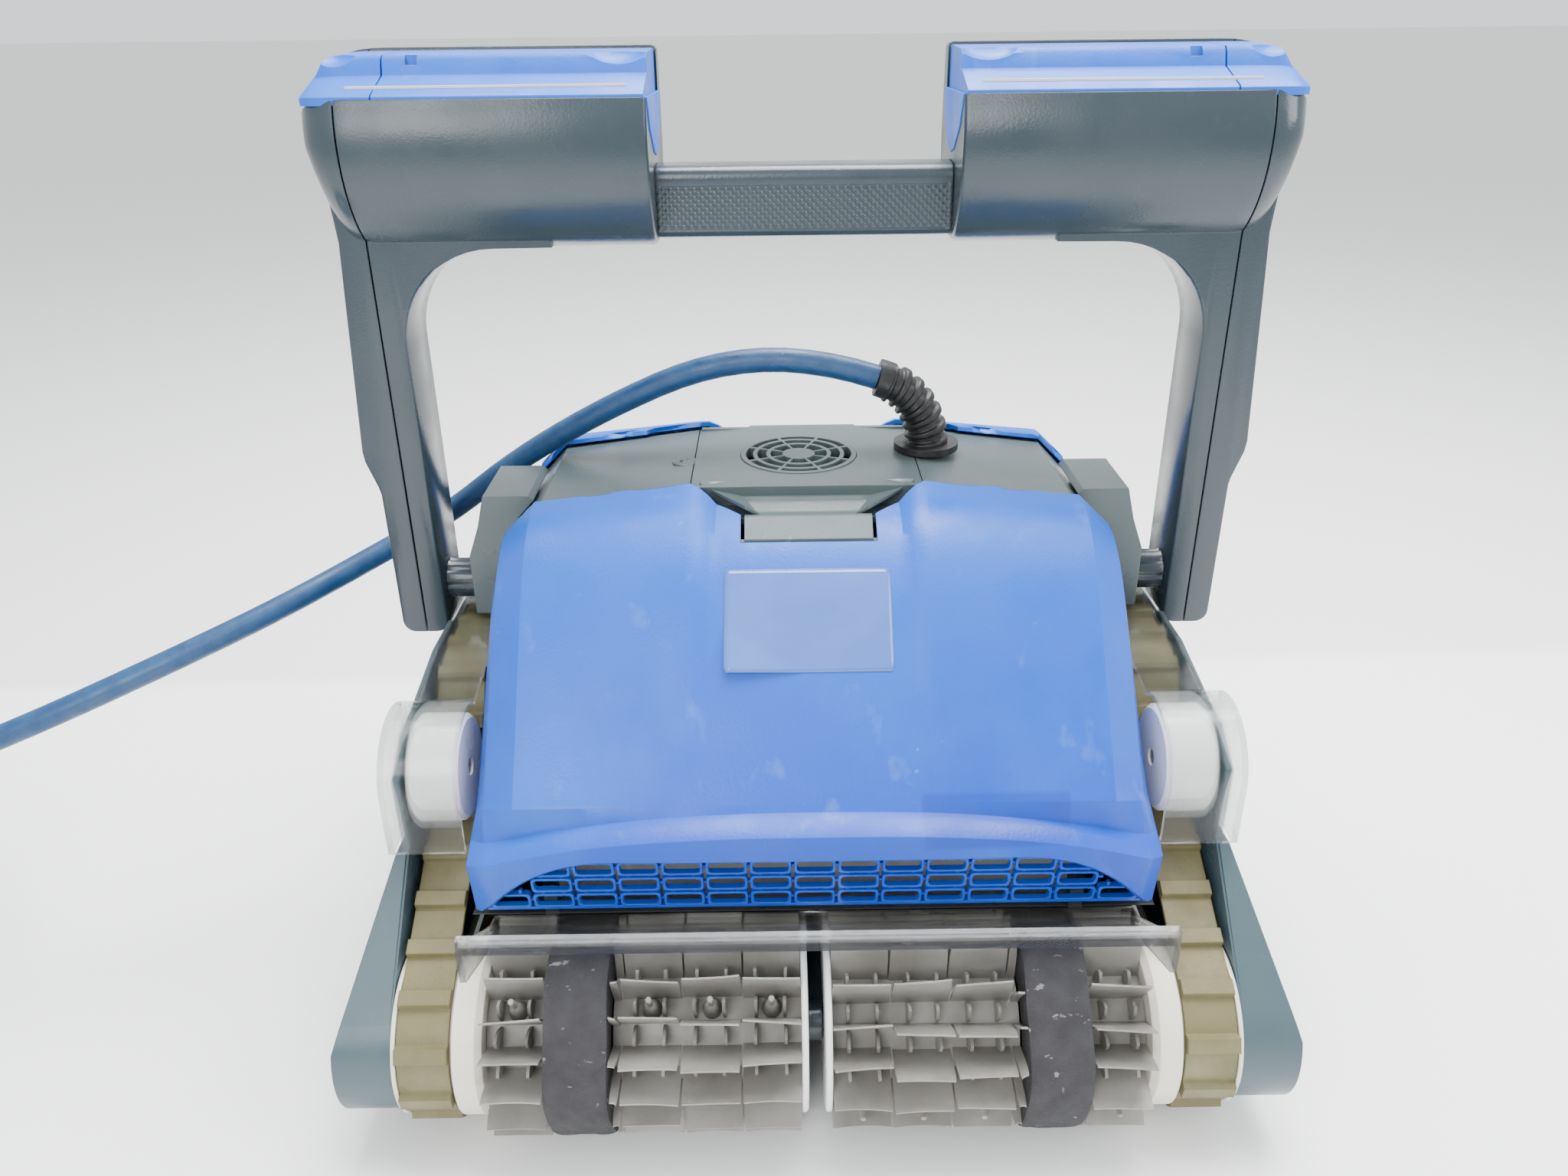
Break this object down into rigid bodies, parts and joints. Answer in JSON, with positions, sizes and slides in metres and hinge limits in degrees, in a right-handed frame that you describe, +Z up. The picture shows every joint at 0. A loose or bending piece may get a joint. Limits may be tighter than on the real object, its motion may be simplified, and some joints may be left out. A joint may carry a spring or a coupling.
{
  "type": "tracked robotic pool cleaner",
  "caption": "Tracked pool cleaner with finned brushes, hinged filter lids, a swinging float handle and a floating cable coiled beside it.",
  "frame": {"origin": "on the floor under the middle of the machine", "axes": "+Z up, -Y towards the front lid, +X to the right seen from the front"},
  "size_m": [0.934, 0.493, 0.44],
  "materials": {
    "chassis_black": "moulded, matt black",
    "grey_shell": "satin grey moulding",
    "handle_grey": "satin slate grey moulding",
    "panel_grey": "satin blue-grey moulding",
    "blue_lid": "satin cornflower blue, chalky in places",
    "latch_grey": "light grey moulding, worn",
    "clear_plastic": "clear smoky polycarbonate",
    "cream_plastic": "cream moulding",
    "roller_white": "white acetal",
    "track_khaki": "ribbed khaki belt",
    "fin_grey": "soft light grey fins",
    "foam_grey": "dense dark grey foam",
    "motor_steel": "steel",
    "board_green": "circuit board",
    "black_rubber": "black rubber",
    "cable_blue": "steel blue floating cable"
  },
  "bodies": {
    "chassis": {"bottom_plate": "chassis_black", "brush_brackets": "handle_grey", "cable_gland": "black_rubber", "cable_strain_relief": "black_rubber", "centre_frame": "grey_shell", "chassis_tub": "chassis_black", "control_board": "board_green", "cord_coil": "cable_blue", "cord_plug": "black_rubber", "cord_tube": "cable_blue", "drive_motors": "motor_steel", "filter_baskets": "cream_plastic", "front_brush_guard": "clear_plastic", "left_roller_window": "clear_plastic", "left_side_panel": "panel_grey", "left_track": "track_khaki", "motor_housing": "chassis_black", "outlet_duct": "chassis_black", "outlet_grille": "grey_shell", "panel_screws": "motor_steel", "pivot_blocks": "grey_shell", "pump_motor": "motor_steel", "rear_brush_guard": "clear_plastic", "right_roller_window": "clear_plastic", "right_side_panel": "panel_grey", "right_track": "track_khaki", "top_cover_centre": "grey_shell", "top_cover_wings": "grey_shell"},
    "front_left_wheel_set": {"front_left_track_wheel": "cream_plastic", "front_left_brush": "fin_grey", "front_left_foam_ring": "foam_grey"},
    "front_left_roller": {"front_left_guide_roller": "roller_white"},
    "front_left_upper_pulley": {"front_left_pulley": "cream_plastic"},
    "rear_left_wheel_set": {"rear_left_track_wheel": "cream_plastic", "rear_left_brush": "fin_grey", "rear_left_foam_ring": "foam_grey"},
    "rear_left_roller": {"rear_left_guide_roller": "roller_white"},
    "rear_left_upper_pulley": {"rear_left_pulley": "cream_plastic"},
    "left_drive": {"left_drive_gear": "cream_plastic"},
    "front_right_wheel_set": {"front_right_track_wheel": "cream_plastic", "front_right_brush": "fin_grey", "front_right_foam_ring": "foam_grey"},
    "front_right_roller": {"front_right_guide_roller": "roller_white"},
    "front_right_upper_pulley": {"front_right_pulley": "cream_plastic"},
    "rear_right_wheel_set": {"rear_right_track_wheel": "cream_plastic", "rear_right_brush": "fin_grey", "rear_right_foam_ring": "foam_grey"},
    "rear_right_roller": {"rear_right_guide_roller": "roller_white"},
    "rear_right_upper_pulley": {"rear_right_pulley": "cream_plastic"},
    "right_drive": {"right_drive_gear": "cream_plastic"},
    "impeller": {"impeller": "cream_plastic"},
    "handle": {"handle_frame": "handle_grey", "handle_grip": "handle_grey", "handle_floats": "cream_plastic", "left_float_lid": "blue_lid", "right_float_lid": "blue_lid"},
    "front_lid": {"front_filter_lid": "blue_lid"},
    "front_latch": {"front_lid_latch": "latch_grey"},
    "rear_lid": {"rear_filter_lid": "blue_lid"},
    "rear_latch": {"rear_lid_latch": "latch_grey"}
  },
  "joints": [
    {"name": "left_front_wheel_spin", "type": "hinge", "parent": "chassis", "child": "front_left_wheel_set", "pos_m": [-0.1, -0.162, 0.046], "axis": [1, 0, 0], "continuous": true, "deforming": ["left_track"]},
    {"name": "left_front_roller_spin", "type": "hinge", "parent": "chassis", "child": "front_left_roller", "pos_m": [-0.164, -0.108, 0.147], "axis": [1, 0, 0], "continuous": true},
    {"name": "left_front_pulley_spin", "type": "hinge", "parent": "chassis", "child": "front_left_upper_pulley", "pos_m": [-0.164, -0.046, 0.143], "axis": [1, 0, 0], "continuous": true},
    {"name": "left_rear_wheel_spin", "type": "hinge", "parent": "chassis", "child": "rear_left_wheel_set", "pos_m": [-0.1, 0.162, 0.046], "axis": [1, 0, 0], "continuous": true},
    {"name": "left_rear_roller_spin", "type": "hinge", "parent": "chassis", "child": "rear_left_roller", "pos_m": [-0.164, 0.108, 0.147], "axis": [1, 0, 0], "continuous": true},
    {"name": "left_rear_pulley_spin", "type": "hinge", "parent": "chassis", "child": "rear_left_upper_pulley", "pos_m": [-0.164, 0.046, 0.143], "axis": [1, 0, 0], "continuous": true},
    {"name": "left_drive_gear_spin", "type": "hinge", "parent": "chassis", "child": "left_drive", "pos_m": [-0.15, 0, 0.154], "axis": [1, 0, 0], "continuous": true},
    {"name": "right_front_wheel_spin", "type": "hinge", "parent": "chassis", "child": "front_right_wheel_set", "pos_m": [0.1, -0.162, 0.046], "axis": [1, 0, 0], "continuous": true, "deforming": ["right_track"]},
    {"name": "right_front_roller_spin", "type": "hinge", "parent": "chassis", "child": "front_right_roller", "pos_m": [0.164, -0.108, 0.147], "axis": [1, 0, 0], "continuous": true},
    {"name": "right_front_pulley_spin", "type": "hinge", "parent": "chassis", "child": "front_right_upper_pulley", "pos_m": [0.164, -0.046, 0.143], "axis": [1, 0, 0], "continuous": true},
    {"name": "right_rear_wheel_spin", "type": "hinge", "parent": "chassis", "child": "rear_right_wheel_set", "pos_m": [0.1, 0.162, 0.046], "axis": [1, 0, 0], "continuous": true},
    {"name": "right_rear_roller_spin", "type": "hinge", "parent": "chassis", "child": "rear_right_roller", "pos_m": [0.164, 0.108, 0.147], "axis": [1, 0, 0], "continuous": true},
    {"name": "right_rear_pulley_spin", "type": "hinge", "parent": "chassis", "child": "rear_right_upper_pulley", "pos_m": [0.164, 0.046, 0.143], "axis": [1, 0, 0], "continuous": true},
    {"name": "right_drive_gear_spin", "type": "hinge", "parent": "chassis", "child": "right_drive", "pos_m": [0.15, 0, 0.154], "axis": [1, 0, 0], "continuous": true},
    {"name": "impeller_spin", "type": "hinge", "parent": "chassis", "child": "impeller", "pos_m": [-0.003, 0, 0.2], "axis": [0, 0, 1], "continuous": true},
    {"name": "handle_swing", "type": "hinge", "parent": "chassis", "child": "handle", "pos_m": [0, 0, 0.191], "axis": [1, 0, 0], "range_deg": [-30, 35]},
    {"name": "front_lid_hinge", "type": "hinge", "parent": "chassis", "child": "front_lid", "pos_m": [0, -0.144, 0.107], "axis": [1, 0, 0], "range_deg": [0, 35]},
    {"name": "front_latch_lift", "type": "hinge", "parent": "front_lid", "child": "front_latch", "pos_m": [0, -0.0742, 0.2402], "axis": [1, 0, 0], "range_deg": [0, 20], "stiffness_Nm_per_rad": 0.05},
    {"name": "rear_lid_hinge", "type": "hinge", "parent": "chassis", "child": "rear_lid", "pos_m": [0, 0.144, 0.107], "axis": [-1, 0, 0], "range_deg": [0, 35]},
    {"name": "rear_latch_lift", "type": "hinge", "parent": "rear_lid", "child": "rear_latch", "pos_m": [0, 0.0742, 0.2402], "axis": [-1, 0, 0], "range_deg": [0, 20], "stiffness_Nm_per_rad": 0.05}
  ],
  "couplings": [
    {"joint": "left_front_roller_spin", "follows": "left_front_wheel_spin", "ratio": -1.2077},
    {"joint": "left_front_pulley_spin", "follows": "left_front_wheel_spin", "ratio": 1.1706},
    {"joint": "left_rear_wheel_spin", "follows": "left_front_wheel_spin", "ratio": 1},
    {"joint": "left_rear_roller_spin", "follows": "left_front_wheel_spin", "ratio": -1.2077},
    {"joint": "left_rear_pulley_spin", "follows": "left_front_wheel_spin", "ratio": 1.1706},
    {"joint": "left_drive_gear_spin", "follows": "left_front_wheel_spin", "ratio": 1.8743},
    {"joint": "right_front_roller_spin", "follows": "right_front_wheel_spin", "ratio": -1.2077},
    {"joint": "right_front_pulley_spin", "follows": "right_front_wheel_spin", "ratio": 1.1706},
    {"joint": "right_rear_wheel_spin", "follows": "right_front_wheel_spin", "ratio": 1},
    {"joint": "right_rear_roller_spin", "follows": "right_front_wheel_spin", "ratio": -1.2077},
    {"joint": "right_rear_pulley_spin", "follows": "right_front_wheel_spin", "ratio": 1.1706},
    {"joint": "right_drive_gear_spin", "follows": "right_front_wheel_spin", "ratio": 1.8743}
  ]
}
